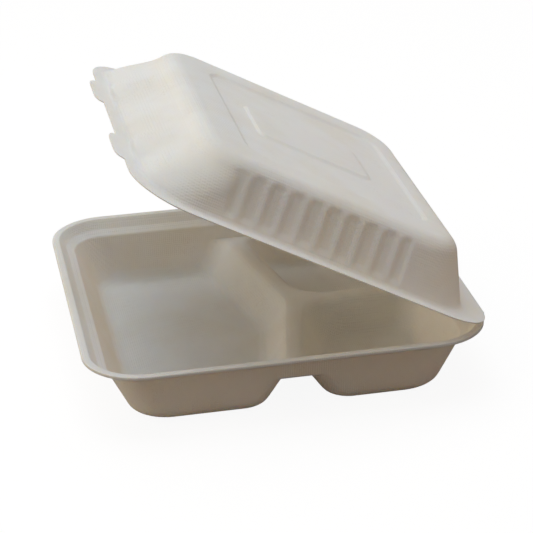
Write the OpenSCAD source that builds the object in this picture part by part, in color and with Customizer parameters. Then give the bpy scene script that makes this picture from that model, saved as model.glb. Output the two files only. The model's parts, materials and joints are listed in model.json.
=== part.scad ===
/* [Tray] */
// Tray from its front edge to the fold, in mm
tray_w = 232; // [216:1:250]
// Tray along the fold
tray_l = 230; // [214:1:250]
// Height of the rim above the table
tray_h = 39.5; // [34:0.5:48]
// Thickness of the pressed fibre
wall = 0.7; // [0.5:0.1:1.2]
// Radius of the rim's corners seen from above
rim_r = 34; // [30:1:38]

/* [Rim] */
// Width of the flat flange around the mouth
flange_w = 4.3; // [3:0.1:6]
// Height of the flange's turned down edge
lip_h = 1.8; // [1.4:0.1:2.6]
// Width of the sloping step inside the flange
step_w = 4.2; // [3:0.1:6]
// Drop of the step
step_h = 5.5; // [4:0.1:7]
// Width of the ledge below the step
ledge_w = 5.1; // [4:0.1:7]
// Drop of the ledge
ledge_h = 2.9; // [2:0.1:4]

/* [Compartments] */
// Height of the dividers' crest above the table
divider_h = 22; // [18:0.5:26]
// Half width of the flat on the crest
crest_flat = 1.5; // [1:0.1:3]
// Radius that rounds the crest
crest_r = 7; // [5:0.5:9]
// Radius between a wall and the floor
floor_r = 9; // [6:0.5:11]
// Radius of the compartments' outer corners seen from above
corner_r = 20; // [16:1:24]
// Radius where a divider meets the outer wall
joint_r = 12; // [8:1:16]
// Radius at the fork, in the corner of each small compartment
fork_r = 24; // [16:1:28]
// Distance of the fork from the tray's middle, towards the fold
fork_x = 22; // [12:1:30]
// Lean of the two arms of the fork, in degrees
arm_lean = 11.6; // [6:0.2:16]
// Slope of the walls beside the fold's ends, in degrees from upright
side_slope = 10; // [6:1:14]
// Slope of the front wall and of the wall at the fold
end_slope = 25; // [18:1:28]
// Slope of the dividers
divider_slope = 32; // [26:1:36]

/* [Lid] */
// Height of the lid above its own flange
lid_h = 33; // [30:0.2:40]
// Width of the lid's flange on three sides
lid_flange_w = 5; // [4:0.2:7]
// Width of the lid's flange at the fold
fold_flange_w = 14; // [10:0.5:18]
// Slope of the lid's walls beside the fold's ends
lid_side_slope = 23; // [18:1:26]
// Slope of the lid's front wall and of its wall at the fold
lid_end_slope = 27; // [20:1:30]
// Radius between the flange and the lid's walls
lid_foot_r = 3.5; // [2.5:0.5:5]
// Radius between the lid's walls and its top
lid_top_r = 13; // [9:0.5:16]
// Radius of the lid's corners at the top, seen from above
lid_corner_r = 27; // [24:1:32]
// Angle by which the lid stands open
lid_open = 28.5; // [0:0.5:170]

/* [Relief] */
// Middle of the flutes, measured from the tray's middle towards the fold
flute_x = -5; // [-8:0.5:0]
// Number of ridges on each fluted wall of the lid
ridge_count = 9; // [5:1:11]
// Distance between ridges
ridge_pitch = 11.8; // [9:0.2:13]
// Width of a ridge at its top
ridge_w = 2; // [1.4:0.2:3]
// Depth of the flutes between the ridges
flute_depth = 1.1; // [0.5:0.1:1.5]
// Depth of the sunk panel on the lid
panel_depth = 1.2; // [0.6:0.1:2]
// Border in front of the sunk panel, on the flat of the lid
panel_front = 16.5; // [12:0.5:20]
// Border between the panel and the fold's side
panel_back = 7; // [5:0.5:12]
// Border beside the panel
panel_side = 15; // [10:0.5:20]
// Radius of the panel's corners
panel_r = 14; // [10:1:20]
// Radius of the island's corners
island_r = 9; // [6:1:14]
// Half length of the raised island in the panel, across the fold
island_x = 42; // [30:1:46]
// Half length of the raised island along the fold
island_y = 28; // [18:1:36]

/* [Tabs] */
// Distance of each closing tab from the lid's middle
tab_y = 46; // [38:1:54]
// Length of a tab at its root
tab_root = 38; // [36:1:50]
// Reach of a tab past the lid's edge
tab_reach = 5.4; // [5:0.2:9]
// Height of the swelling behind each tab on the lid's front wall
swell = 3.2; // [1:0.2:4]

/* [Fold] */
// Clearance between tray and lid at the fold and when closed
clearance = 0.3; // [0.2:0.05:0.5]

/* [Hidden] */
fibre = [0.90, 0.88, 0.84];
corner_steps = 6;
fork_steps = 3;
arc_steps = 4;
overlap = 0.6;
half_w = tray_w / 2;
half_l = tray_l / 2;

// Rounded edges: the tray's outer edge, its step's top, the lid's edge and the underside of the step
edge_bevel = 0.5 * wall;
mouth_bevel = 0.6;
mouth_drop = 0.8;
lid_bevel = 0.3 * wall;
step_skin = 0.4 * wall;
lip_skin = 0.7 * wall;

// Length in which a row of flutes runs out, and height in which each flute does
flute_end = 3;
flute_run = 4;

// Heights above the lid's foot at which a swelling is past its middle and gone
swell_mid = 8;
swell_top = 15;

// Places on half a tab, as shares of its half length, and how full its round outline is
tab_places = [0.5, 0.73, 0.91, 1];
tab_fullness = 5;
swell_spread = 1.1;

// Room kept between the last mark on a squeezed outline and the corner, and slope of the panel's step
spare = 1;
panel_slope = 54;

// Inner surface: where each part of the rim ends, measured inwards and in height
ledge_in = flange_w + step_w + ledge_w;
ledge_z = tray_h - step_h - ledge_h;
fillet_z = floor_r + wall;
crest_z = divider_h - crest_r;

// Sides as [direction of the outward normal, distance from the middle]
arm_c = fork_x * cos(arm_lean);
rim_sides = [[270, half_l], [360, half_w], [450, half_l], [540, half_w]];
large_sides = [[270, half_l], [360 - arm_lean, arm_c], [360 + arm_lean, arm_c], [450, half_l], [540, half_w]];
small_sides = [[270, half_l], [360, half_w], [450, 0], [540 - arm_lean, -arm_c]];

// Crossing of two sides
function cross_at(a, ca, b, cb) =
    let (d = cos(a) * sin(b) - sin(a) * cos(b))
    [(ca * sin(b) - cb * sin(a)) / d, (cb * cos(a) - ca * cos(b)) / d];

// Round corner between side a and side b
function corner(a, ca, b, cb, r, steps) =
    let (turn = (b[0] - a[0] + 720) % 360, m = cross_at(a[0], ca - r, b[0], cb - r))
    [for (k = [0 : steps]) let (t = a[0] + turn * k / steps) m + r * [cos(t), sin(t)]];

// Closed outline whose sides are moved inwards by the given distances
function outline(sides, insets, radii, steps) =
    let (n = len(sides))
    [for (i = [0 : n - 1]) let (j = (i + 1) % n)
        each corner(sides[i], sides[i][1] - insets[i], sides[j], sides[j][1] - insets[j], radii[i], steps[i])];

function at_height(points, z) = [for (p = points) [p[0], p[1], z]];

function middle_of(ring) =
    let (n = len(ring))
    [for (i = [0 : 2]) [for (p = ring) p[i]] * [for (p = ring) 1] / n];

function turned(list) = [for (i = [len(list) - 1 : -1 : 0]) list[i]];

// Solid through a stack of outlines with equal numbers of points; each end is a fan round its own middle
module loft(rings) {
    n = len(rings[0]);
    m = len(rings);
    sides = [for (i = [0 : m - 2], k = [0 : n - 1])
        let (a = i * n + k, b = i * n + (k + 1) % n)
        each [[a, b + n, b], [a, a + n, b + n]]];
    start = [for (k = [0 : n - 1]) [m * n, k, (k + 1) % n]];
    end = [for (k = [0 : n - 1]) [m * n + 1, (m - 1) * n + (k + 1) % n, (m - 1) * n + k]];
    polyhedron(
        points = concat([for (ring = rings) each ring], [middle_of(rings[0]), middle_of(rings[m - 1])]),
        faces = concat(start, sides, end),
        convexity = 8
    );
}

// How far in an outer wall lies at height z; skin is 0 on the inner surface and the thickness on the outer one
function wall_in(z, slope, skin) =
    let (
        r = floor_r + skin,
        line = function (h) ledge_in + (ledge_z - h) * tan(slope) - skin / cos(slope),
        tangent = fillet_z - r * sin(slope),
        centre = line(tangent) + r * cos(slope)
    )
    z >= tangent ? line(z) : centre - sqrt(max(0, r * r - pow(fillet_z - z, 2)));

// How far from a divider's middle line its face lies at height z
function divider_in(z, skin) =
    let (
        top_r = crest_r - skin,
        low_r = floor_r + skin,
        bend_z = crest_z + top_r * sin(divider_slope),
        bend_x = crest_flat + top_r * cos(divider_slope),
        line = function (h) bend_x + (bend_z - h) * tan(divider_slope),
        tangent = fillet_z - low_r * sin(divider_slope),
        centre = line(tangent) + low_r * cos(divider_slope)
    )
    z >= bend_z ? crest_flat + sqrt(max(0, top_r * top_r - pow(z - crest_z, 2)))
    : z >= tangent ? line(z)
    : centre - sqrt(max(0, low_r * low_r - pow(fillet_z - z, 2)));

// Heights of a compartment's outlines, from its floor to the crest
function levels(skin) = concat(
    [for (t = [90, 64, 45, divider_slope, end_slope, side_slope]) fillet_z - (floor_r + skin) * sin(t)],
    [for (k = [0 : arc_steps])
        crest_z + (crest_r - skin) * sin(divider_slope + (90 - divider_slope) * k / arc_steps)]
);

function large_ring(z, skin) =
    let (e = wall_in(z, end_slope, skin), s = wall_in(z, side_slope, skin), d = divider_in(z, skin))
    outline(large_sides, [s, d, d, s, e],
        [joint_r + skin, fork_r + skin, joint_r + skin, corner_r + skin, corner_r + skin],
        [corner_steps, fork_steps, corner_steps, corner_steps, corner_steps]);

function small_ring(z, skin) =
    let (e = wall_in(z, end_slope, skin), s = wall_in(z, side_slope, skin), d = divider_in(z, skin))
    outline(small_sides, [s, e, d, d],
        [corner_r + skin, joint_r + skin, fork_r + skin, joint_r + skin],
        [corner_steps, corner_steps, corner_steps, corner_steps]);

module large_compartment(skin) {
    heights = levels(skin);
    rings = [for (z = heights) at_height(large_ring(z, skin), z)];
    top = heights[len(heights) - 1];
    loft(concat(rings, [at_height(large_ring(top, skin), top + overlap)]));
}

module small_compartment(skin) {
    heights = levels(skin);
    rings = [for (z = heights) at_height(small_ring(z, skin), z)];
    top = heights[len(heights) - 1];
    loft(concat(rings, [at_height(small_ring(top, skin), top + overlap)]));
}

module compartments(skin) {
    large_compartment(skin);
    small_compartment(skin);
    mirror([0, 1, 0]) small_compartment(skin);
}

// Outline of the rim or of the well, moved inwards by one distance at the ends and another at the sides
function rim_ring(end, side, r, z) =
    at_height(outline(rim_sides, [side, end, side, end], [r, r, r, r], [for (i = [0 : 3]) corner_steps]), z);

function even_ring(inset, z) = rim_ring(inset, inset, rim_r - inset, z);

function well_ring(z, skin) =
    rim_ring(wall_in(z, end_slope, skin), wall_in(z, side_slope, skin), corner_r + skin, z);

// Everything under the tray's upper surface
module tray_outside() {
    loft([
        well_ring(divider_h - wall, wall),
        well_ring(ledge_z - wall, wall),
        even_ring(flange_w + step_w - step_skin, ledge_z + ledge_h - wall),
        even_ring(flange_w - wall, tray_h - wall),
        even_ring(wall, tray_h - wall),
        even_ring(lip_skin, tray_h - lip_h),
        even_ring(0, tray_h - lip_h),
        even_ring(0, tray_h - edge_bevel),
        even_ring(edge_bevel, tray_h)
    ]);
    compartments(wall);
}

// The room above the tray's upper surface
module tray_inside() {
    loft([
        well_ring(divider_h, 0),
        well_ring(ledge_z, 0),
        even_ring(flange_w + step_w, ledge_z + ledge_h),
        even_ring(flange_w + mouth_bevel, tray_h - mouth_drop),
        even_ring(flange_w, tray_h),
        even_ring(flange_w, tray_h + overlap)
    ]);
    compartments(0);
}

module tray() {
    color(fibre) difference() {
        tray_outside();
        tray_inside();
    }
}

// Height of the lid's flange and top when it is shut, and where it turns
seat_z = tray_h + clearance;
flange_z = seat_z + wall;
top_z = seat_z + lid_h;
foot_z = flange_z + lid_foot_r;
dome_z = top_z - lid_top_r;
fold_x = half_w + clearance;
fold_z = tray_h + clearance / 2;

// Height where the lid's wall leaves its foot, and where it meets the rounding of its top
function foot_end(slope, skin) = foot_z - (lid_foot_r + skin) * sin(slope);
function dome_start(slope, skin) = dome_z + (lid_top_r - skin) * sin(slope);

// How far in the lid's wall lies at height z; skin is 0 outside and the wall's thickness inside
function lid_in(z, slope, flange, skin) =
    let (
        low_r = lid_foot_r + skin,
        high_r = lid_top_r - skin,
        low = foot_end(slope, skin),
        line = function (h) flange + low_r * cos(slope) + (h - low) * tan(slope),
        high = dome_start(slope, skin),
        centre = line(high) + high_r * cos(slope)
    )
    z < low ? flange + sqrt(max(0, low_r * low_r - pow(foot_z - z, 2)))
    : z <= high ? line(z)
    : centre - sqrt(max(0, high_r * high_r - pow(z - dome_z, 2)));

// Corner radius of the lid at height z; the corners stay concentric where the top rounds in
function lid_r(z, skin) =
    let (start = dome_start(lid_end_slope, skin))
    lid_corner_r - skin - (z > start
        ? lid_in(z, lid_end_slope, lid_flange_w, skin) - lid_in(start, lid_end_slope, lid_flange_w, skin)
        : 0);

// Flutes: places along a wall and how far the wall is pressed in there, as [place, share]
flute_half = ridge_count * ridge_pitch / 2;
flutes = concat(
    [[-flute_half - flute_end, 0], [-flute_half, 1]],
    [for (i = [0 : ridge_count - 1]) let (m = (i - (ridge_count - 1) / 2) * ridge_pitch)
        each [[m - ridge_w, 1], [m, 0], [m + ridge_w, 1]]],
    [[flute_half, 1], [flute_half + flute_end, 0]]
);

// Tabs and the swellings behind them: places along the front and what stands out, as [place, swelling, tab]
tab_half = tab_root / 2;
tab_marks = concat(-turned(tab_places), [0], tab_places);
tabs = [for (m = [-tab_y, tab_y], u = tab_marks)
    [m + u * tab_half, cos(90 * min(1, swell_spread * abs(u))), sqrt(1 - pow(abs(u), tab_fullness))]];

// Points along one side of the lid; each mark is [place, how far the side stands out]
function side_points(side, c, middle, marks) =
    let (n = [cos(side[0]), sin(side[0])], along = [-sin(side[0]), cos(side[0])])
    [for (mark = marks) n * (c + mark[1]) + along * (middle + mark[0])];

// Outline of the lid at height z. walls holds its distances from the middle: beside, at the fold and in front.
// share squeezes the marked places along the two kinds of side, flute, swelling and tab stand in or out.
function lid_outline(walls, r, share, flute, swelling, tab, z) =
    let (
        s = rim_sides,
        beside = walls[0],
        fold = walls[1],
        front = walls[2],
        pressed = [for (mark = flutes) [mark[0] * share[0], -mark[1] * flute]],
        forward = [for (mark = tabs) [mark[0] * share[1], mark[1] * swelling + mark[2] * tab]]
    )
    at_height(concat(
        side_points(s[0], beside, flute_x * share[0], pressed),
        corner(s[0], beside, s[1], fold, r, corner_steps),
        corner(s[1], fold, s[2], beside, r, corner_steps),
        side_points(s[2], beside, -flute_x * share[0], pressed),
        corner(s[2], beside, s[3], front, r, corner_steps),
        side_points(s[3], front, 0, forward),
        corner(s[3], front, s[0], beside, r, corner_steps)
    ), z);

function flange_ring(inset, z) =
    lid_outline([half_l - inset, half_w - inset, half_w - inset], rim_r - inset, [1, 1], 0, 0, tab_reach, z);

// Distances of the lid's walls from the middle at height z
function lid_walls(z, skin) = [
    half_l - lid_in(z, lid_side_slope, lid_flange_w, skin),
    half_w - lid_in(z, lid_end_slope, fold_flange_w, skin),
    half_w - lid_in(z, lid_end_slope, lid_flange_w, skin)
];

// Outlines of the lid's wall from its foot to its flat top; skin is 0 outside and the wall's thickness inside
function lid_rings(skin) =
    let (
        low = foot_end(lid_side_slope, skin),
        high = dome_start(lid_side_slope, skin),
        foot = [for (t = [[90, 0], [60, 0.4]]) [foot_z - (lid_foot_r + skin) * sin(t[0]), 0, t[1]]],
        middle = [
            [low, 0, 0.9],
            [low + flute_run, 1, 1],
            [low + swell_mid, 1, 0.6],
            [low + swell_top, 1, 0],
            [high - flute_run, 1, 0],
            [high, 0, 0]
        ],
        dome = [for (t = [40, 65, 90]) [dome_z + (lid_top_r - skin) * sin(t), 0, 0]]
    )
    [for (v = concat(foot, middle, dome)) let (z = v[0])
        lid_outline(lid_walls(z, skin), lid_r(z, skin), [1, 1], flute_depth * v[1], swell * v[2], 0, z)];

// Sunk panel and raised island on the flat top, from the panel's edge to the island
panel_edge = panel_depth * tan(panel_slope);
flat = lid_walls(top_z, 0);
panel_walls = flat - [panel_side, panel_back, panel_front];
island_walls = [island_y, island_x, island_x];

// Share by which the marked places are squeezed so that they stay between the corners
function squeeze(walls, r) = [
    min(1, (min(walls[1], walls[2]) + flute_x - r) / (flute_half + flute_end + spare)),
    min(1, (walls[0] - r) / (tab_y + tab_half + spare))
];

function top_ring(walls, r, inset, z) =
    lid_outline(walls - inset * [1, 1, 1], r, squeeze(walls, r + inset), 0, 0, 0, z);

function panel_rings(skin) = [
    top_ring(panel_walls, panel_r, 0, top_z - skin),
    top_ring(panel_walls, panel_r - panel_edge, panel_edge, top_z - panel_depth - skin),
    top_ring(island_walls, island_r, 0, top_z - panel_depth - skin),
    top_ring(island_walls, island_r - panel_edge, panel_edge, top_z - skin)
];

// The lid is one pressed sheet: its skin runs from the island's underside down the inner wall,
// round the flange's edge and up the outer wall to the island's top
module shut_lid() {
    loft(concat(
        turned(concat(lid_rings(wall), panel_rings(wall))),
        [flange_ring(0, seat_z), flange_ring(0, flange_z - lid_bevel), flange_ring(lid_bevel, flange_z)],
        lid_rings(0),
        panel_rings(0)
    ));
}

module lid() {
    color(fibre)
    translate([fold_x, 0, fold_z]) rotate([0, lid_open, 0]) translate([-fold_x, 0, -fold_z]) shut_lid();
}

tray();
lid();
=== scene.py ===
import json
import math

import bpy
import numpy as np
from bpy.props import (
    FloatProperty,
    FloatVectorProperty,
    IntProperty,
    PointerProperty,
)
from mathutils import Matrix, Vector


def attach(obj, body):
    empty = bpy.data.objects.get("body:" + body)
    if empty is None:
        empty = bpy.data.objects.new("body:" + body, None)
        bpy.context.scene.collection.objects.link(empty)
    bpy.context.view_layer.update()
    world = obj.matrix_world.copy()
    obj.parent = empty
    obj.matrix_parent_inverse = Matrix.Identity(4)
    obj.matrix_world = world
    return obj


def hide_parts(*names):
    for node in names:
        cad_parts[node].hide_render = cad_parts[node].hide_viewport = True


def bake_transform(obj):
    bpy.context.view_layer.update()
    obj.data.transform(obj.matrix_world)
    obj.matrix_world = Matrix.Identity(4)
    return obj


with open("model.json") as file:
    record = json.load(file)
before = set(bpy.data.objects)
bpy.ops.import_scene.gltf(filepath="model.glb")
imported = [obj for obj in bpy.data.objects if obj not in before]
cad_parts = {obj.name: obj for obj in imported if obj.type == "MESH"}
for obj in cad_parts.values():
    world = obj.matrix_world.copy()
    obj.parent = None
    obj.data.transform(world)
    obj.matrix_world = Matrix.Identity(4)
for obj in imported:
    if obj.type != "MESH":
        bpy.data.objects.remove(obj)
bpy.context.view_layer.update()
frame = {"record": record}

bl_info = {
    "name": "Pressed Fibre Clamshell",
    "version": (1, 0, 0),
    "blender": (4, 5, 0),
    "location": "3D View > Sidebar > Clamshell",
    "description": "Builds a hinged box of pressed fibre with a divided tray and a fluted lid",
    "category": "Add Mesh",
}

FOLD = frame["record"]["behaviour"]["joints"][0]
FIBRE = "pressed_fibre"
MOULD = "mould"

# Steps of a ring along the sides beside the fold's ends, the fold, the front and a corner
TRAY_STEPS = (116, 78, 78, 16)
LID_STEPS = (250, 40, 150, 14)
FRONT_START = 2 * LID_STEPS[0] + LID_STEPS[1] + 3 * LID_STEPS[3]

# Small sizes of the sheet that nobody would change, in metres
RIM_ROUNDS = (0.0007, 0.0016, 0.0022, 0.0022)
FLANGE_INSETS = (0, 0.0004, 0.0015, 0.0032)
SWELLING_TOP = 0.019
LEAN_START = -0.02
LEAN_RUN = 0.05
FLUTE_RUN = 0.0035
FLUTE_OVERRUN = 0.004
CREASE_HOLD = 0.001
CREASE_OVERRUN = 0.002

# Width of a panel's edge to its depth, half the crease to the sheet, and halvings of a search
PANEL_EDGE = 3.6
CREASE_SHARE = 0.42
HALVINGS = 24

# The floor lies a hair below the box, so that the two don't share a plane
FLOOR_DROP = 0.0003
FLOOR_HALF = 4.0


def length(name, metres, description):
    """A size in metres."""
    return FloatProperty(
        name=name, description=description, default=metres, min=0, precision=4, unit="LENGTH"
    )


def shift(name, metres, description):
    """A distance in metres that may be below zero."""
    return FloatProperty(name=name, description=description, default=metres, unit="LENGTH")


def power(name, watts, description):
    """Power of a lamp."""
    return FloatProperty(name=name, description=description, default=watts, min=0, unit="POWER")


def angle(name, degrees, description):
    """An angle, given in degrees here and shown in degrees in the sidebar."""
    return FloatProperty(name=name, description=description, default=math.radians(degrees), unit="ROTATION")


def shade(name, colour, description):
    """A colour."""
    return FloatVectorProperty(
        name=name, description=description, default=colour, size=3, min=0, max=1, subtype="COLOR"
    )


class ClamshellTray(bpy.types.PropertyGroup):
    """Sizes of the tray and its rim."""

    width: length("Width", 0.232, "From the front edge to the fold")
    depth: length("Length", 0.230, "Along the fold")
    height: length("Height", 0.0395, "Rim above the table")
    sheet: length("Sheet", 0.0007, "Thickness of the pressed fibre")
    rim_radius: length("Rim Radius", 0.034, "Corners of the rim seen from above")
    flange: length("Flange", 0.0043, "Width of the flat flange")
    lip: length("Lip", 0.0018, "Height of the turned down edge")
    step_width: length("Step Width", 0.0042, "Width of the step inside the flange")
    step_drop: length("Step Drop", 0.0055, "Drop of the step")
    ledge_width: length("Ledge Width", 0.0051, "Width of the ledge below the step")
    ledge_drop: length("Ledge Drop", 0.0029, "Drop of the ledge")
    side_slope: angle("Side Slope", 10, "Walls beside the fold's ends, from upright")
    end_slope: angle("End Slope", 25, "Front wall and the wall at the fold, from upright")
    floor_radius: length("Floor Radius", 0.009, "Between a wall and the floor")
    corner_radius: length("Corner Radius", 0.020, "Outer corners of the compartments")


class ClamshellDividers(bpy.types.PropertyGroup):
    """Sizes of the folds that divide the tray."""

    height: length("Height", 0.022, "Crest above the table")
    flat: length("Flat", 0.0015, "Half width of the flat on the crest")
    crest_radius: length("Crest Radius", 0.007, "Rounding of the crest")
    slope: angle("Slope", 32, "Slope of the faces, from upright")
    joint_radius: length("Joint Radius", 0.012, "Where a divider meets the outer wall")
    fork_radius: length("Fork Radius", 0.024, "Corner of each small compartment at the fork")
    fork_place: length("Fork Place", 0.022, "Distance of the fork from the middle")
    arm_lean: angle("Arm Lean", 11.6, "Lean of the two arms of the fork")


class ClamshellLid(bpy.types.PropertyGroup):
    """Sizes of the lid, its panel, its flutes and its tabs."""

    height: length("Height", 0.033, "Top above the flange's underside")
    gap: length("Gap", 0.0003, "Between the flanges when the box is shut")
    flange: length("Flange", 0.005, "Width of the flange on three sides")
    fold_flange: length("Fold Flange", 0.014, "Width of the flange at the fold")
    side_slope: angle("Side Slope", 23, "Walls beside the fold's ends")
    end_slope: angle("End Slope", 27, "Front wall and the wall at the fold")
    foot_radius: length("Foot Radius", 0.0035, "Between flange and wall")
    top_radius: length("Top Radius", 0.013, "Between wall and top")
    corner_radius: length("Corner Radius", 0.027, "Corners of the top seen from above")
    ridges: IntProperty(name="Ridges", description="Ridges on each fluted wall", default=9, min=1, max=20)
    ridge_pitch: length("Ridge Pitch", 0.0118, "Distance between ridges")
    ridge_width: length("Ridge Width", 0.0045, "Half width of a ridge at its root")
    flute_depth: length("Flute Depth", 0.0011, "Depth between the ridges")
    flute_shift: shift("Flute Shift", -0.005, "Middle of the ridges, towards the fold")
    panel_depth: length("Panel Depth", 0.0012, "Depth of the sunk panel")
    panel_front: length("Panel Front", 0.0165, "Border in front of the panel")
    panel_back: length("Panel Back", 0.007, "Border behind the panel")
    panel_side: length("Panel Side", 0.015, "Border beside the panel")
    panel_radius: length("Panel Radius", 0.014, "Corners of the panel")
    island_across: length("Island Across", 0.042, "Half length of the raised island across the fold")
    island_along: length("Island Along", 0.028, "Half length of the island along the fold")
    island_radius: length("Island Radius", 0.009, "Corners of the island")
    tab_place: length("Tab Place", 0.046, "Distance of each closing tab from the middle")
    tab_root: length("Tab Root", 0.038, "Length of a tab at its root")
    tab_reach: length("Tab Reach", 0.0054, "Reach of a tab past the edge")
    front_gap: length("Front Gap", 0.0046, "Front edge of the lid behind that of the tray")
    front_lean: length("Front Lean", 0.011, "Extra lean of the front wall, at its top")
    swelling: length("Swelling", 0.0032, "Height of the swelling behind each tab")


class ClamshellFibre(bpy.types.PropertyGroup):
    """Look of the pressed fibre."""

    pale: shade("Pale", (0.87, 0.84, 0.785), "Main colour of the pulp")
    warm: shade("Warm", (0.83, 0.775, 0.68), "Colour of its warmer clouds")
    strand: shade("Strand", (0.64, 0.56, 0.45), "Colour of single darker fibres")
    mesh_pitch: length("Mesh Pitch", 0.0013, "Pitch of the forming mesh's imprint")
    mesh_depth: length("Mesh Depth", 0.00003, "Depth of the imprint")
    grain_depth: length("Grain Depth", 0.00004, "Depth of the fine grain")
    glow: FloatProperty(
        name="Glow",
        description="Share of light that enters the sheet",
        default=0.6,
        min=0,
        max=1,
        subtype="FACTOR",
    )
    glow_reach: length("Glow Reach", 0.004, "How far light spreads in the sheet")


class ClamshellStudio(bpy.types.PropertyGroup):
    """Light, floor and camera."""

    key_power: power("Key Power", 13.0, "Power of the lamp overhead")
    key_size: length("Key Size", 1.3, "Width of the lamp overhead")
    key_height: length("Key Height", 1.5, "Height of the lamp overhead")
    key_colour: shade("Key Colour", (0.84, 0.92, 1.0), "Colour of the lamp overhead")
    side_power: power("Side Power", 3.6, "Power of the warm lamp at the opening")
    side_size: length("Side Size", 0.55, "Width of the warm lamp at the opening")
    side_colour: shade("Side Colour", (1.0, 0.82, 0.58), "Colour of the warm lamp at the opening")
    fill: shade("Fill", (0.35, 0.305, 0.27), "Light from all round")
    floor_colour: shade("Floor Colour", (0.14, 0.115, 0.105), "Light that the floor gives back")
    azimuth: angle("Azimuth", -10.592, "Camera round the box")
    elevation: angle("Elevation", 24.632, "Camera above the table")
    roll: angle("Roll", -1.54, "Camera's roll")
    distance: length("Distance", 1.21993, "Camera from the box's foot")
    sideways: shift("Sideways", 0.00447, "Camera moved sideways")
    upwards: shift("Upwards", 0.04136, "Camera moved up")
    lens: FloatProperty(name="Lens", description="Focal length in mm", default=134.53, min=1)


GROUPS = {
    "clamshell_tray": ClamshellTray,
    "clamshell_dividers": ClamshellDividers,
    "clamshell_lid": ClamshellLid,
    "clamshell_fibre": ClamshellFibre,
    "clamshell_studio": ClamshellStudio,
}


class Value:
    """One output of a node. Sums written with it add Math nodes to the same tree."""

    def __init__(self, board, node, output):
        self.board = board
        self.node = node
        self.socket = node.outputs[output]

    def out(self, name):
        """Another output of the same node."""
        return Value(self.board, self.node, name)

    def maths(self, operation, *values):
        """A Math node on these values."""
        return self.board.node("ShaderNodeMath", {"operation": operation}, dict(enumerate(values)))

    def __add__(self, other):
        return self.maths("ADD", self, other)

    def __radd__(self, other):
        return self.maths("ADD", other, self)

    def __sub__(self, other):
        return self.maths("SUBTRACT", self, other)

    def __rsub__(self, other):
        return self.maths("SUBTRACT", other, self)

    def __mul__(self, other):
        return self.maths("MULTIPLY", self, other)

    def __rmul__(self, other):
        return self.maths("MULTIPLY", other, self)

    def __truediv__(self, other):
        return self.maths("DIVIDE", self, other)

    def __abs__(self):
        return self.maths("ABSOLUTE", self)

    def sine(self):
        return self.maths("SINE", self)

    def sign(self):
        return self.maths("SIGN", self)

    def nearest(self):
        """The nearest whole number."""
        return self.maths("ROUND", self)

    def rise(self, low, high):
        """0 below low, 1 above high, with a smooth rise between them."""
        return self.board.node(
            "ShaderNodeMapRange", {"interpolation_type": "SMOOTHSTEP"}, {0: self, 1: low, 2: high}
        )


class Board:
    """A node tree, and the one way in which nodes are added to it."""

    def __init__(self, tree):
        self.tree = tree
        tree.nodes.clear()

    def node(self, kind, settings=None, inputs=None, output=0):
        """A node of this kind. Its settings are set first, then the values or links of its inputs."""
        node = self.tree.nodes.new(kind)
        count = len(self.tree.nodes)
        node.location = (200 * (count // 4), -220 * (count % 4))
        for name, setting in (settings or {}).items():
            setattr(node, name, setting)
        for name, given in (inputs or {}).items():
            if isinstance(given, Value):
                self.tree.links.new(given.socket, node.inputs[name])
            else:
                node.inputs[name].default_value = given
        return Value(self, node, output) if node.outputs else node

    def blend(self, share, first, second):
        """A mix of two colours."""
        a, b = ((*colour, 1) if isinstance(colour, tuple) else colour for colour in (first, second))
        return self.node("ShaderNodeMix", {"data_type": "RGBA"}, {0: share, 6: a, 7: b}, 2)


# Scales of the pulp's noise patterns, in features to the metre
CLOUDS = 22
IMPRINT_PATCHES = 30
THIN_PLACES = 60
WAVES = 75
STRANDS = 230
GRAIN = 1500

# How far red, green and blue light spread in the sheet, against one another
GLOW_SPREAD = (1.0, 0.66, 0.40)


def pulp_noise(board, spot, scale, detail, twist=0.0):
    """A noise pattern in the mould's frame."""
    return board.node(
        "ShaderNodeTexNoise",
        inputs={"Vector": spot, "Scale": scale, "Detail": detail, "Distortion": twist},
    )


def pulp_colour(board, spot, look):
    """Pale pulp with warm clouds and single darker fibres."""
    clouds = pulp_noise(board, spot, CLOUDS, 3).rise(0.38, 0.68)
    strands = 1 - abs(pulp_noise(board, spot, STRANDS, 2, 1.6) - 0.5).rise(0.0, 0.018)
    thin = pulp_noise(board, spot, THIN_PLACES, 1).rise(0.5, 0.7)
    colour = board.blend(clouds * 0.7, tuple(look.pale), tuple(look.warm))
    return board.blend(strands * thin * 0.35, colour, tuple(look.strand))


def pulp_relief(board, spot, grain, look):
    """Height of the forming mesh's imprint, the grain and the slow waves of the surface."""
    axes = board.node("ShaderNodeSeparateXYZ", inputs={0: spot})
    turns = 2 * math.pi / look.mesh_pitch
    threads = sum((axes.out(name) * turns).sine() for name in "XYZ")
    imprint = threads * (0.35 + 0.65 * pulp_noise(board, spot, IMPRINT_PATCHES, 2).rise(0.35, 0.6))
    waves = pulp_noise(board, spot, WAVES, 2)
    return imprint * look.mesh_depth + grain * look.grain_depth * 2 + waves * look.grain_depth * 4


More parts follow.
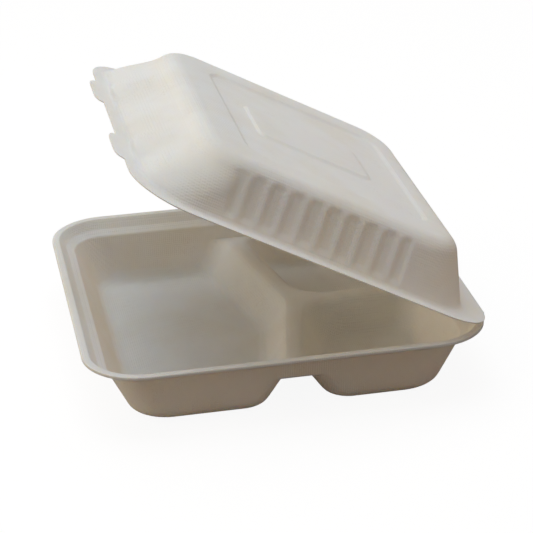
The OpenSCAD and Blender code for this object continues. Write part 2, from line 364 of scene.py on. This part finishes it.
def pressed_fibre(look):
    """Material of the box: pale pulp with clouds, strands, grain and the forming mesh's imprint."""
    material = bpy.data.materials.new(FIBRE)
    material.use_nodes = True
    board = Board(material.node_tree)
    spot = board.node("ShaderNodeAttribute", {"attribute_name": MOULD}, output="Vector")
    grain = pulp_noise(board, spot, GRAIN, 2)
    relief = pulp_relief(board, spot, grain, look)
    bump = board.node("ShaderNodeBump", inputs={"Strength": 1.0, "Distance": 1.0, "Height": relief})
    surface = board.node(
        "ShaderNodeBsdfPrincipled",
        {"subsurface_method": "RANDOM_WALK"},
        {
            "Base Color": pulp_colour(board, spot, look),
            "Roughness": 0.78 + 0.14 * grain,
            "Normal": bump,
            "IOR": 1.45,
            "Specular IOR Level": 0.35,
            "Subsurface Weight": look.glow,
            "Subsurface Radius": GLOW_SPREAD,
            "Subsurface Scale": look.glow_reach,
        },
    )
    board.node("ShaderNodeOutputMaterial", inputs={"Surface": surface})
    return material


def fibre(context):
    """The box's one material, made when it is first asked for."""
    return bpy.data.materials.get(FIBRE) or pressed_fibre(context.scene.clamshell_fibre)


def ring(front, fold, beside, radius, counts):
    """Points of a rounded rectangle, anticlockwise from the near side's front end.

    front, fold and beside are the distances of its sides from the middle. counts holds the steps along the
    sides beside the fold's ends, the fold, the front and a corner.
    """
    along, at_fold, at_front, turn = counts
    low, high, end = radius - front, fold - radius, beside - radius

    def line(a, b, steps):
        return np.linspace(a, b, steps, endpoint=False)

    def arc(x, y, start):
        t = np.radians(start + 90 * np.arange(turn) / turn)
        return np.stack([x + radius * np.cos(t), y + radius * np.sin(t)], axis=1)

    return np.concatenate([
        line((low, -beside), (high, -beside), along),
        arc(high, -end, -90),
        line((fold, -end), (fold, end), at_fold),
        arc(high, end, 0),
        line((high, beside), (low, beside), along),
        arc(low, end, 90),
        line((-front, end), (-front, -end), at_front),
        arc(low, -end, 180),
    ])


def endness(counts):
    """For each point of a ring, 0 beside the fold's ends and 1 at the front and the fold."""
    along, at_fold, at_front, turn = counts
    t = np.arange(turn) / turn
    rise = t * t * (3 - 2 * t)
    beside = np.zeros(along)
    fold = np.ones(at_fold)
    front = np.ones(at_front)
    return np.concatenate([beside, rise, fold, 1 - rise, beside, rise, front, 1 - rise])


def rounded_path(points, radii, steps=5):
    """A path through the points, with each inner corner rounded by an arc."""
    path = [points[0]]
    for before, at, after, radius in zip(points, points[1:], points[2:], radii):
        a = np.subtract(before, at)
        b = np.subtract(after, at)
        a, b = a / np.linalg.norm(a), b / np.linalg.norm(b)
        half = math.acos(max(-1.0, min(1.0, float(a @ b)))) / 2
        middle = (a + b) / np.linalg.norm(a + b)
        centre = at + middle * radius / math.sin(half)
        start = np.asarray(at) + a * radius / math.tan(half) - centre
        stop = np.asarray(at) + b * radius / math.tan(half) - centre
        for k in range(steps + 1):
            arm = start * (1 - k / steps) + stop * (k / steps)
            path.append(centre + arm * radius / np.linalg.norm(arm))
    path.append(points[-1])
    return np.array(path)


def sheet_mesh(name, rings):
    """An object whose mesh is a sheet through the rings, closed at its middle."""
    count = len(rings[0])
    points = np.concatenate([*rings, rings[-1].mean(axis=0, keepdims=True)])
    k = np.arange(count)
    after = (k + 1) % count
    faces = []
    for i in range(len(rings) - 1):
        a = i * count
        faces += np.stack([a + k, a + after, a + count + after, a + count + k], axis=1).tolist()
    last = (len(rings) - 1) * count
    middle = len(rings) * count
    faces += [[last + int(i), last + int(j), middle] for i, j in zip(k, after)]
    mesh = bpy.data.meshes.new(name)
    mesh.from_pydata(points.tolist(), [], faces)
    mesh.update()
    piece = bpy.data.objects.new(name, mesh)
    bpy.context.scene.collection.objects.link(piece)
    return piece


def give_thickness(piece, thickness):
    """Adds the sheet's thickness under its upper side."""
    solid = piece.modifiers.new("sheet", "SOLIDIFY")
    solid.thickness = thickness
    solid.offset = -1
    solid.use_even_offset = True
    solid.use_rim = True


def settle(piece, material, turn=None):
    """Makes the piece a plain mesh, notes each point's place in the mould, then turns the mesh."""
    graph = bpy.context.evaluated_depsgraph_get()
    made = bpy.data.meshes.new_from_object(piece.evaluated_get(graph))
    piece.modifiers.clear()
    piece.data = made
    made.name = piece.name
    made.materials.clear()
    made.materials.append(material)
    made.shade_smooth()
    made.set_sharp_from_angle(angle=math.radians(50))
    places = np.empty(3 * len(made.vertices), dtype=np.float32)
    made.vertices.foreach_get("co", places)
    made.attributes.new(MOULD, "FLOAT_VECTOR", "POINT").data.foreach_set("vector", places)
    if turn:
        made.transform(turn)
    made.update()
    return piece


def open_turn(lid_angle):
    """Turn about the fold by an angle that raises the lid's front."""
    pivot = Vector(FOLD["pos_m"])
    return (
        Matrix.Translation(pivot)
        @ Matrix.Rotation(lid_angle, 4, Vector(FOLD["axis"]))
        @ Matrix.Translation(-pivot)
    )


def rest_angle():
    """How far the lid stands open at rest."""
    return math.radians(-FOLD["range_deg"][0])


def wall_inset(z, slope, tray):
    """How far inside the rim's edge the tray's wall lies at height z."""
    start = tray.flange + tray.step_width + tray.ledge_width
    start_z = tray.height - tray.step_drop - tray.ledge_drop
    round_z = tray.floor_radius + tray.sheet
    tangent = round_z - tray.floor_radius * math.sin(slope)
    centre = start + (start_z - tangent) * math.tan(slope) + tray.floor_radius * math.cos(slope)
    inner = centre - np.sqrt(np.maximum(0, tray.floor_radius**2 - (round_z - z) ** 2))
    return np.where(z >= tangent, start + (start_z - z) * math.tan(slope), inner)


def divider_inset(z, tray, divider):
    """How far from a divider's middle line its face lies at height z."""
    slope = divider.slope
    crest_z = divider.height - divider.crest_radius
    round_z = tray.floor_radius + tray.sheet
    bend_z = crest_z + divider.crest_radius * math.sin(slope)
    bend = divider.flat + divider.crest_radius * math.cos(slope)
    tangent = round_z - tray.floor_radius * math.sin(slope)
    centre = bend + (bend_z - tangent) * math.tan(slope) + tray.floor_radius * math.cos(slope)
    upper = divider.flat + np.sqrt(np.maximum(0, divider.crest_radius**2 - (z - crest_z) ** 2))
    face = bend + (bend_z - z) * math.tan(slope)
    lower = centre - np.sqrt(np.maximum(0, tray.floor_radius**2 - (round_z - z) ** 2))
    return np.where(z >= bend_z, upper, np.where(z >= tangent, face, lower))


def crossing(a, ca, b, cb):
    """Crossing of two lines, each given by the direction of its normal and its distance from the middle."""
    d = math.cos(a) * math.sin(b) - math.sin(a) * math.cos(b)
    return (ca * math.sin(b) - cb * math.sin(a)) / d, (cb * math.cos(a) - ca * math.cos(b)) / d


def within(x, y, sides, reach, radii):
    """Whether points lie inside an outline with straight sides at these distances and rounded corners."""
    inside = np.ones(x.shape, dtype=bool)
    for side, far in zip(sides, reach):
        inside &= x * math.cos(side) + y * math.sin(side) <= far
    for i, radius in enumerate(radii):
        j = (i + 1) % len(sides)
        a, b = sides[i], sides[j]
        cx, cy = crossing(a, reach[i] - radius, b, reach[j] - radius)
        dx, dy = x - cx, y - cy
        past_a = math.cos(a) * dy - math.sin(a) * dx > 0
        past_b = dx * math.sin(b) - dy * math.cos(b) > 0
        inside &= ~(past_a & past_b & (dx * dx + dy * dy > radius**2))
    return inside


def sunk(x, y, shape, tray, divider):
    """Height of the sheet's upper side in one compartment, and of the dividers' crest outside it."""
    low = np.full(x.shape, tray.sheet)
    high = np.full(x.shape, divider.height)
    top = within(x, y, *shape(high))
    bottom = within(x, y, *shape(low))
    for _ in range(HALVINGS):
        z = (low + high) / 2
        inside = within(x, y, *shape(z))
        high = np.where(inside, z, high)
        low = np.where(inside, low, z)
    return np.where(bottom, tray.sheet, np.where(top, high, divider.height))


def compartment_floor(x, y, tray, divider):
    """Height of the sheet's upper side at points inside the tray's wall, up to the dividers' crest."""
    half_w, half_l = tray.width / 2, tray.depth / 2
    lean = divider.arm_lean
    arm = divider.fork_place * math.cos(lean)
    quarter = math.pi / 2
    joint, fork, corner = divider.joint_radius, divider.fork_radius, tray.corner_radius

    def large(z):
        s, e = wall_inset(z, tray.side_slope, tray), wall_inset(z, tray.end_slope, tray)
        d = divider_inset(z, tray, divider)
        sides = [-quarter, -lean, lean, quarter, 2 * quarter]
        reach = [half_l - s, arm - d, arm - d, half_l - s, half_w - e]
        return sides, reach, [joint, fork, joint, corner, corner]

    def small(z):
        s, e = wall_inset(z, tray.side_slope, tray), wall_inset(z, tray.end_slope, tray)
        d = divider_inset(z, tray, divider)
        sides = [-quarter, 0, quarter, 2 * quarter - lean]
        reach = [half_l - s, half_w - e, -d, -arm - d]
        return sides, reach, [corner, joint, fork, joint]

    compartments = ((large, 1), (small, 1), (small, -1))
    heights = [sunk(x, side * y, shape, tray, divider) for shape, side in compartments]
    return np.minimum.reduce(heights)


def rim_profile(slope, tray, divider):
    """Section of the rim and the top of the wall, as distances from the edge and heights."""
    step_in = tray.flange + tray.step_width
    step_z = tray.height - tray.step_drop
    path = [
        (0, tray.height - tray.lip),
        (0, tray.height),
        (tray.flange, tray.height),
        (step_in, step_z),
        (step_in + tray.ledge_width, step_z - tray.ledge_drop),
        (float(wall_inset(divider.height, slope, tray)), divider.height),
    ]
    return rounded_path(path, RIM_ROUNDS)


def rim_rings(tray, divider):
    """Rings from the lip's edge over the rim to the height of the dividers' crest."""
    half_w, half_l = tray.width / 2, tray.depth / 2
    share = endness(TRAY_STEPS)
    sides = rim_profile(tray.side_slope, tray, divider)
    ends = rim_profile(tray.end_slope, tray, divider)
    rings = []
    for (side_in, side_z), (end_in, end_z) in zip(sides, ends):
        radius = max(tray.corner_radius, tray.rim_radius - (side_in + end_in) / 2)
        flat = ring(half_w - end_in, half_w - end_in, half_l - side_in, radius, TRAY_STEPS)
        rings.append(np.column_stack([flat, side_z + (end_z - side_z) * share]))
    return rings


def floor_outlines(tray, divider):
    """Outlines seen from above, down the outer wall and then inwards to the floor's middle."""
    half_w, half_l = tray.width / 2, tray.depth / 2
    round_z = tray.floor_radius + tray.sheet
    straight = np.linspace(divider.height - 0.001, round_z, 10, endpoint=False)
    curved = round_z - tray.floor_radius * np.sin(np.radians(np.linspace(0, 90, 13)))
    outlines = []
    for z in np.concatenate([straight, curved]):
        side_in = float(wall_inset(z, tray.side_slope, tray))
        end_in = float(wall_inset(z, tray.end_slope, tray))
        flat = ring(half_w - end_in, half_w - end_in, half_l - side_in, tray.corner_radius, TRAY_STEPS)
        outlines.append(flat)
    foot = outlines[-1]
    return outlines + [foot * scale for scale in np.linspace(1, 0, 56)[1:-1]]


def tray_rings(tray, divider):
    """Rings of the tray's upper side, from the lip's edge over the rim and down to the floor's middle."""
    outlines = floor_outlines(tray, divider)
    points = np.concatenate(outlines)
    heights = compartment_floor(points[:, 0], points[:, 1], tray, divider).reshape(len(outlines), -1)
    formed = [np.column_stack([flat, z]) for flat, z in zip(outlines, heights)]
    return rim_rings(tray, divider) + formed


class CLAMSHELL_OT_tray(bpy.types.Operator):
    """Makes the tray with its rim, dividers and compartments from one sheet"""

    bl_idname = "clamshell.tray"
    bl_label = "Make Tray"

    def execute(self, context):
        scene = context.scene
        piece = sheet_mesh("tray_sheet", tray_rings(scene.clamshell_tray, scene.clamshell_dividers))
        give_thickness(piece, scene.clamshell_tray.sheet)
        settle(piece, fibre(context))
        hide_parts("tray")
        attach(piece, "tray")
        return {"FINISHED"}


def lid_inset(z, slope, flange, lid, base, top):
    """How far inside the lid's edge its wall lies at height z."""
    foot_z = base + lid.foot_radius
    dome_z = top - lid.top_radius
    low = foot_z - lid.foot_radius * math.sin(slope)
    high = dome_z + lid.top_radius * math.sin(slope)
    start = flange + lid.foot_radius * math.cos(slope)
    if z < low:
        return flange + math.sqrt(max(0, lid.foot_radius**2 - (foot_z - z) ** 2))
    if z <= high:
        return start + (z - low) * math.tan(slope)
    centre = start + (high - low) * math.tan(slope) + lid.top_radius * math.cos(slope)
    return centre - math.sqrt(max(0, lid.top_radius**2 - (z - dome_z) ** 2))


def tab_shape(y, lid):
    """How far the tabs stand out at places along the front, as a share of their reach."""
    u = np.abs(np.abs(y) - lid.tab_place) / (lid.tab_root / 2)
    return np.sqrt(np.maximum(0, 1 - np.minimum(u, 1) ** 5))


def swelling_shape(y, lid):
    """How far the front wall swells behind the tabs, as a share of the swelling's height."""
    u = np.abs(np.abs(y) - lid.tab_place) / (lid.tab_root / 2)
    return np.cos(np.minimum(1, 1.1 * u) * math.pi / 2) ** 1.5


def smooth(share):
    """0 to 1 with a soft start and end."""
    t = np.clip(share, 0, 1)
    return t * t * (3 - 2 * t)


def lid_levels(tray, lid):
    """Heights of the upper side of the shut lid's flange and of its top."""
    base = tray.height + lid.gap + tray.sheet
    return base, tray.height + lid.gap + lid.height


def lean_back(points, tray, lid):
    """Moves the lid's front back from the tray's edge, and the top of its front wall further."""
    base, top = lid_levels(tray, lid)
    x, z = points[:, 0], points[:, 2]
    climb = smooth((z - base) / (top - base - lid.top_radius / 2))
    moved = points.copy()
    moved[:, 0] += smooth((LEAN_START - x) / LEAN_RUN) * (lid.front_gap + lid.front_lean * climb)
    return moved


def pushed(flat, amount):
    """Moves the points of the lid's front side and its near corner forwards."""
    moved = flat.copy()
    moved[FRONT_START:, 0] -= amount[FRONT_START:]
    return moved


def flange_rings(tray, lid):
    """Rings of the lid's flange and tabs."""
    base, _ = lid_levels(tray, lid)
    half_w, half_l = tray.width / 2, tray.depth / 2
    rings = []
    for inset in (*FLANGE_INSETS, lid.flange):
        fold_in = lid.fold_flange if inset == lid.flange else inset
        flat = ring(half_w - inset, half_w - fold_in, half_l - inset, tray.rim_radius - inset, LID_STEPS)
        reach = lid.tab_reach * tab_shape(flat[:, 1], lid) * (1 - inset / lid.flange)
        rings.append(np.column_stack([pushed(flat, reach), np.full(len(flat), base)]))
    return rings


def wall_heights(tray, lid):
    """Heights of the rings up the lid's wall, from its foot to the edge of its top."""
    base, top = lid_levels(tray, lid)
    dome_z = top - lid.top_radius
    low = base + lid.foot_radius * (1 - math.sin(lid.side_slope))
    high = dome_z + lid.top_radius * math.sin(lid.side_slope)
    foot = base + lid.foot_radius * (1 - np.cos(np.radians(np.linspace(12, 62, 6))))
    dome = dome_z + lid.top_radius * np.sin(np.radians(np.linspace(28, 90, 12)))
    return np.concatenate([foot, np.linspace(low, high, 22), dome])


def wall_outline(z, tray, lid):
    """Distances of the lid's walls from its middle at height z, and the radius of its corners there."""
    base, top = lid_levels(tray, lid)
    bend_z = top - lid.top_radius * (1 - math.sin(lid.end_slope))
    bend_in = lid_inset(bend_z, lid.end_slope, lid.flange, lid, base, top)
    front_in = lid_inset(z, lid.end_slope, lid.flange, lid, base, top)
    fold_in = lid_inset(z, lid.end_slope, lid.fold_flange, lid, base, top)
    side_in = lid_inset(z, lid.side_slope, lid.flange, lid, base, top)
    walls = np.array([tray.width / 2 - front_in, tray.width / 2 - fold_in, tray.depth / 2 - side_in])
    return walls, lid.corner_radius - max(0, front_in - bend_in)


def wall_rings(tray, lid):
    """Rings of the lid's walls, with the swellings behind the tabs."""
    base, _ = lid_levels(tray, lid)
    rings = []
    for z in wall_heights(tray, lid):
        walls, radius = wall_outline(z, tray, lid)
        flat = ring(*walls, radius, LID_STEPS)
        climb = (z - base) / SWELLING_TOP
        strength = 0 if climb > 1 else min(1, 4.5 * climb) * math.cos(climb * math.pi / 2)
        swelling = lid.swelling * strength * swelling_shape(flat[:, 1], lid)
        rings.append(np.column_stack([pushed(flat, swelling), np.full(len(flat), z)]))
    return rings


def shelf(walls, radius, z):
    """One level ring of the lid's top."""
    flat = ring(*walls, radius, LID_STEPS)
    return np.column_stack([flat, np.full(len(flat), z)])


def top_rings(tray, lid):
    """Rings of the lid's top: its border, the sunk panel and the raised island."""
    _, top = lid_levels(tray, lid)
    walls, radius = wall_outline(top, tray, lid)
    panel = walls - [lid.panel_front, lid.panel_back, lid.panel_side]
    island = np.array([lid.island_across, lid.island_across, lid.island_along])
    sunk_z = top - lid.panel_depth
    edge = PANEL_EDGE * lid.panel_depth
    steps = np.linspace(0, 1, 7)
    rings = [shelf((2 * walls + panel) / 3, (radius + lid.panel_radius) / 2, top)]
    for t in steps:
        z = top - lid.panel_depth * smooth(t)
        rings.append(shelf(panel - edge * t, lid.panel_radius - edge * t, z))
    for t in (0.35, 0.7):
        corner = (1 - t) * (lid.panel_radius - edge) + t * lid.island_radius
        rings.append(shelf((1 - t) * (panel - edge) + t * island, corner, sunk_z))
    for t in steps:
        z = sunk_z + lid.panel_depth * smooth(t)
        rings.append(shelf(island - edge * t, lid.island_radius - edge * t, z))
    for t in (0.7, 0.4, 0.15):
        rings.append(shelf((island - edge) * t, (lid.island_radius - edge) * t, top))
    return rings


def lid_rings(tray, lid):
    """Rings of the lid's upper side when it is shut, from the flange's edge to the island's middle."""
    rings = flange_rings(tray, lid) + wall_rings(tray, lid) + top_rings(tray, lid)
    return [lean_back(points, tray, lid) for points in rings]


def flute_tree(material):
    """Geometry nodes that press a row of flutes into both long walls of a lid."""
    tree = bpy.data.node_groups.new("press_flutes", "GeometryNodeTree")
    tree.is_modifier = True
    sizes = ("Pitch", "Ridge Width", "Depth", "Middle", "Low", "High", "Run")
    tree.interface.new_socket("Geometry", in_out="INPUT", socket_type="NodeSocketGeometry")
    tree.interface.new_socket("Ridges", in_out="INPUT", socket_type="NodeSocketInt")
    for name in sizes:
        tree.interface.new_socket(name, in_out="INPUT", socket_type="NodeSocketFloat")
    tree.interface.new_socket("Geometry", in_out="OUTPUT", socket_type="NodeSocketGeometry")

    board = Board(tree)
    given = board.node("NodeGroupInput")
    ridges, pitch, width, depth, middle, low, high, run = (given.out(name) for name in ("Ridges", *sizes))
    place = board.node("GeometryNodeInputPosition")
    axes = board.node("ShaderNodeSeparateXYZ", inputs={0: place})
    along = (axes.out("X") - middle) / pitch + (ridges - 1) * 0.5
    off = abs(along - along.nearest()) * pitch
    half_row = ridges * pitch * 0.5
    row = 1 - abs(axes.out("X") - middle).rise(half_row, half_row + run)
    band = axes.out("Z").rise(low, low + run) * (1 - axes.out("Z").rise(high - run, high))
    press = off.rise(0.0, width) * row * band * depth
    offset = board.node("ShaderNodeCombineXYZ", inputs={"Y": axes.out("Y").sign() * press * -1})
    shape = given.out("Geometry")
    moved = board.node("GeometryNodeSetPosition", inputs={"Geometry": shape, "Offset": offset})
    whole = board.node("GeometryNodeRealizeInstances", inputs={"Geometry": moved})
    dressed = board.node("GeometryNodeSetMaterial", inputs={"Geometry": whole, "Material": material})
    board.node("NodeGroupOutput", inputs={"Geometry": dressed})
    return tree


def press_flutes(piece, tray, lid, material):
    """Adds the flutes to a shut lid."""
    base, top = lid_levels(tray, lid)
    values = {
        "Ridges": lid.ridges,
        "Pitch": lid.ridge_pitch,
        "Ridge Width": lid.ridge_width,
        "Depth": lid.flute_depth,
        "Middle": lid.flute_shift,
        "Low": base + lid.foot_radius * (1 - math.sin(lid.side_slope)),
        "High": top - lid.top_radius * (1 - math.sin(lid.side_slope)) + FLUTE_OVERRUN,
        "Run": FLUTE_RUN,
    }
    tree = flute_tree(material)
    modifier = piece.modifiers.new("flutes", "NODES")
    modifier.node_group = tree
    for item in tree.interface.items_tree:
        if item.in_out == "INPUT" and item.name in values:
            modifier[item.identifier] = values[item.name]


class CLAMSHELL_OT_lid(bpy.types.Operator):
    """Makes the lid with its flange, tabs, flutes, sunk panel and island from one sheet"""

    bl_idname = "clamshell.lid"
    bl_label = "Make Lid"

    def execute(self, context):
        tray, lid = context.scene.clamshell_tray, context.scene.clamshell_lid
        material = fibre(context)
        piece = sheet_mesh("lid_sheet", lid_rings(tray, lid))
        press_flutes(piece, tray, lid, material)
        give_thickness(piece, tray.sheet)
        settle(piece, material, open_turn(rest_angle()))
        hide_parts("lid")
        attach(piece, "lid")
        return {"FINISHED"}


def crease_section(tray, lid):
    """Section of the creased strip: its outer skin, then its inner skin back again."""
    middle = (lid.gap + tray.sheet) / 2
    half_sheet = CREASE_SHARE * tray.sheet
    last = math.pi / 2 - rest_angle()
    bends = np.linspace(-math.pi / 2, last, 12)
    lid_way = np.array([-math.sin(last), math.cos(last)])

    def skin(radius):
        arc = [(math.cos(t) * radius, math.sin(t) * radius) for t in bends]
        return [(-CREASE_HOLD, -radius), *arc, tuple(np.array(arc[-1]) + CREASE_HOLD * lid_way)]

    return np.array(skin(middle + half_sheet) + skin(middle - half_sheet)[::-1])


def crease_mesh(tray, lid):
    """The bent strip along the fold, from inside the tray's flange round to inside the lid's flange."""
    x, _, z = FOLD["pos_m"]
    section = crease_section(tray, lid)
    half = tray.depth / 2 - tray.rim_radius + CREASE_OVERRUN
    rows = np.linspace(-half, half, 90)
    points = [(x + u, y, z + v) for y in rows for u, v in section]
    count = len(section)
    last_row = (len(rows) - 1) * count
    faces = []
    for start in range(0, last_row, count):
        for k in range(count):
            j = (k + 1) % count
            faces.append([start + k, start + count + k, start + count + j, start + j])
    for k in range(count // 2 - 1):
        cap = [k, k + 1, count - 2 - k, count - 1 - k]
        faces.append(cap)
        faces.append([last_row + i for i in reversed(cap)])
    mesh = bpy.data.meshes.new("fold_crease")
    mesh.from_pydata(points, [], faces)
    mesh.update()
    return mesh


class CLAMSHELL_OT_fold(bpy.types.Operator):
    """Makes the creased strip that joins the tray to the lid, bent to the lid's angle at rest"""

    bl_idname = "clamshell.fold"
    bl_label = "Make Fold"

    def execute(self, context):
        tray, lid = context.scene.clamshell_tray, context.scene.clamshell_lid
        piece = bpy.data.objects.new("fold_crease", crease_mesh(tray, lid))
        context.scene.collection.objects.link(piece)
        settle(piece, fibre(context))
        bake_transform(piece)
        return {"FINISHED"}


def seen_share(board):
    """1 for what the camera sees directly, in gloss or through glass, and 0 for light on its way."""
    path = board.node("ShaderNodeLightPath")
    direct = path.out("Is Camera Ray") + path.out("Is Glossy Ray") + path.out("Is Transmission Ray")
    return direct.maths("MINIMUM", direct, 1.0)


def floor_material(look):
    """Pale floor that looks white, keeps the box's shadow and gives little light back."""
    material = bpy.data.materials.new("pale_floor")
    material.use_nodes = True
    board = Board(material.node_tree)
    speck = board.node("ShaderNodeTexNoise", inputs={"Scale": 40.0, "Detail": 2.0})
    plain = board.blend(speck * 0.06, (0.11, 0.11, 0.11), (0.09, 0.09, 0.09))
    matte = board.node("ShaderNodeBsdfDiffuse", inputs={"Color": plain})
    white = board.node("ShaderNodeEmission", inputs={"Color": (1, 1, 1, 1), "Strength": 0.92})
    seen = board.node("ShaderNodeAddShader", inputs={0: matte, 1: white})
    dim = board.node("ShaderNodeBsdfDiffuse", inputs={"Color": (*look.floor_colour, 1)})
    surface = board.node("ShaderNodeMixShader", inputs={0: seen_share(board), 1: dim, 2: seen})
    board.node("ShaderNodeOutputMaterial", inputs={"Surface": surface})
    return material


def light_world(look):
    """World that looks white and gives a dim, warm light from all round."""
    world = bpy.data.worlds.new("studio")
    world.use_nodes = True
    board = Board(world.node_tree)
    fill = board.node("ShaderNodeBackground", inputs={"Color": (*look.fill, 1), "Strength": 1.0})
    white = board.node("ShaderNodeBackground", inputs={"Color": (1, 1, 1, 1), "Strength": 1.0})
    surface = board.node("ShaderNodeMixShader", inputs={0: seen_share(board), 1: fill, 2: white})
    board.node("ShaderNodeOutputWorld", inputs={"Surface": surface})
    return world


def add_lamp(name, place, aim, size, power, colour):
    """A square soft lamp at a place, turned towards its aim."""
    light = bpy.data.lights.new(name, "AREA")
    light.size = size
    light.energy = power
    light.color = colour
    lamp = bpy.data.objects.new(name, light)
    lamp.location = place
    lamp.rotation_euler = (Vector(aim) - Vector(place)).to_track_quat("-Z", "Y").to_euler()
    bpy.context.scene.collection.objects.link(lamp)


def add_camera(look):
    """The camera, at the photographed angle."""
    a, e = look.azimuth, look.elevation
    back = Vector((math.sin(a) * math.cos(e), -math.cos(a) * math.cos(e), math.sin(e)))
    right = Vector((math.cos(a), math.sin(a), 0))
    up = back.cross(right)
    turned_right = right * math.cos(look.roll) + up * math.sin(look.roll)
    turned_up = up * math.cos(look.roll) - right * math.sin(look.roll)
    place = back * look.distance + turned_right * look.sideways + turned_up * look.upwards
    data = bpy.data.cameras.new("camera")
    data.sensor_width = 36
    data.lens = look.lens
    camera = bpy.data.objects.new("camera", data)
    turned = Matrix((turned_right, turned_up, back)).transposed().to_4x4()
    camera.matrix_world = Matrix.Translation(place) @ turned
    bpy.context.scene.collection.objects.link(camera)
    bpy.context.scene.camera = camera


class CLAMSHELL_OT_stage(bpy.types.Operator):
    """Makes the floor, the lamp overhead, the warm lamp at the opening, the world and the camera"""

    bl_idname = "clamshell.stage"
    bl_label = "Make Stage"

    def execute(self, context):
        look = context.scene.clamshell_studio
        corners = [(-1, -1), (1, -1), (1, 1), (-1, 1)]
        mesh = bpy.data.meshes.new("floor")
        points = [(FLOOR_HALF * x, FLOOR_HALF * y, -FLOOR_DROP) for x, y in corners]
        mesh.from_pydata(points, [], [(0, 1, 2, 3)])
        mesh.materials.append(floor_material(look))
        floor = bpy.data.objects.new("floor", mesh)
        context.scene.collection.objects.link(floor)
        aim = (0.0, 0.0, 0.05)
        overhead = (-0.15, 0.2, look.key_height)
        opening = (-1.1, 0.0, 0.29)
        add_lamp("key", overhead, aim, look.key_size, look.key_power, look.key_colour)
        add_lamp("side", opening, aim, look.side_size, look.side_power, look.side_colour)
        context.scene.world = light_world(look)
        add_camera(look)
        context.scene.view_settings.view_transform = "Standard"
        return {"FINISHED"}


OPERATORS = (CLAMSHELL_OT_tray, CLAMSHELL_OT_lid, CLAMSHELL_OT_fold, CLAMSHELL_OT_stage)


class CLAMSHELL_PT_sidebar(bpy.types.Panel):
    """Lists the box's pieces and their sizes"""

    bl_idname = "CLAMSHELL_PT_sidebar"
    bl_label = "Clamshell"
    bl_space_type = "VIEW_3D"
    bl_region_type = "UI"
    bl_category = "Clamshell"

    def draw(self, context):
        for name, group in GROUPS.items():
            box = self.layout.box()
            box.label(text=group.__doc__)
            for prop in group.__annotations__:
                box.prop(getattr(context.scene, name), prop)
        for operator in OPERATORS:
            self.layout.operator(operator.bl_idname)


def register():
    for group in GROUPS.values():
        bpy.utils.register_class(group)
    for name, group in GROUPS.items():
        setattr(bpy.types.Scene, name, PointerProperty(type=group))
    for operator in OPERATORS:
        bpy.utils.register_class(operator)
    bpy.utils.register_class(CLAMSHELL_PT_sidebar)


def unregister():
    bpy.utils.unregister_class(CLAMSHELL_PT_sidebar)
    for operator in reversed(OPERATORS):
        bpy.utils.unregister_class(operator)
    for name, group in GROUPS.items():
        delattr(bpy.types.Scene, name)
        bpy.utils.unregister_class(group)


def main():
    register()
    bpy.ops.clamshell.tray()
    bpy.ops.clamshell.lid()
    bpy.ops.clamshell.fold()
    bpy.ops.clamshell.stage()


if __name__ == "__main__":
    main()
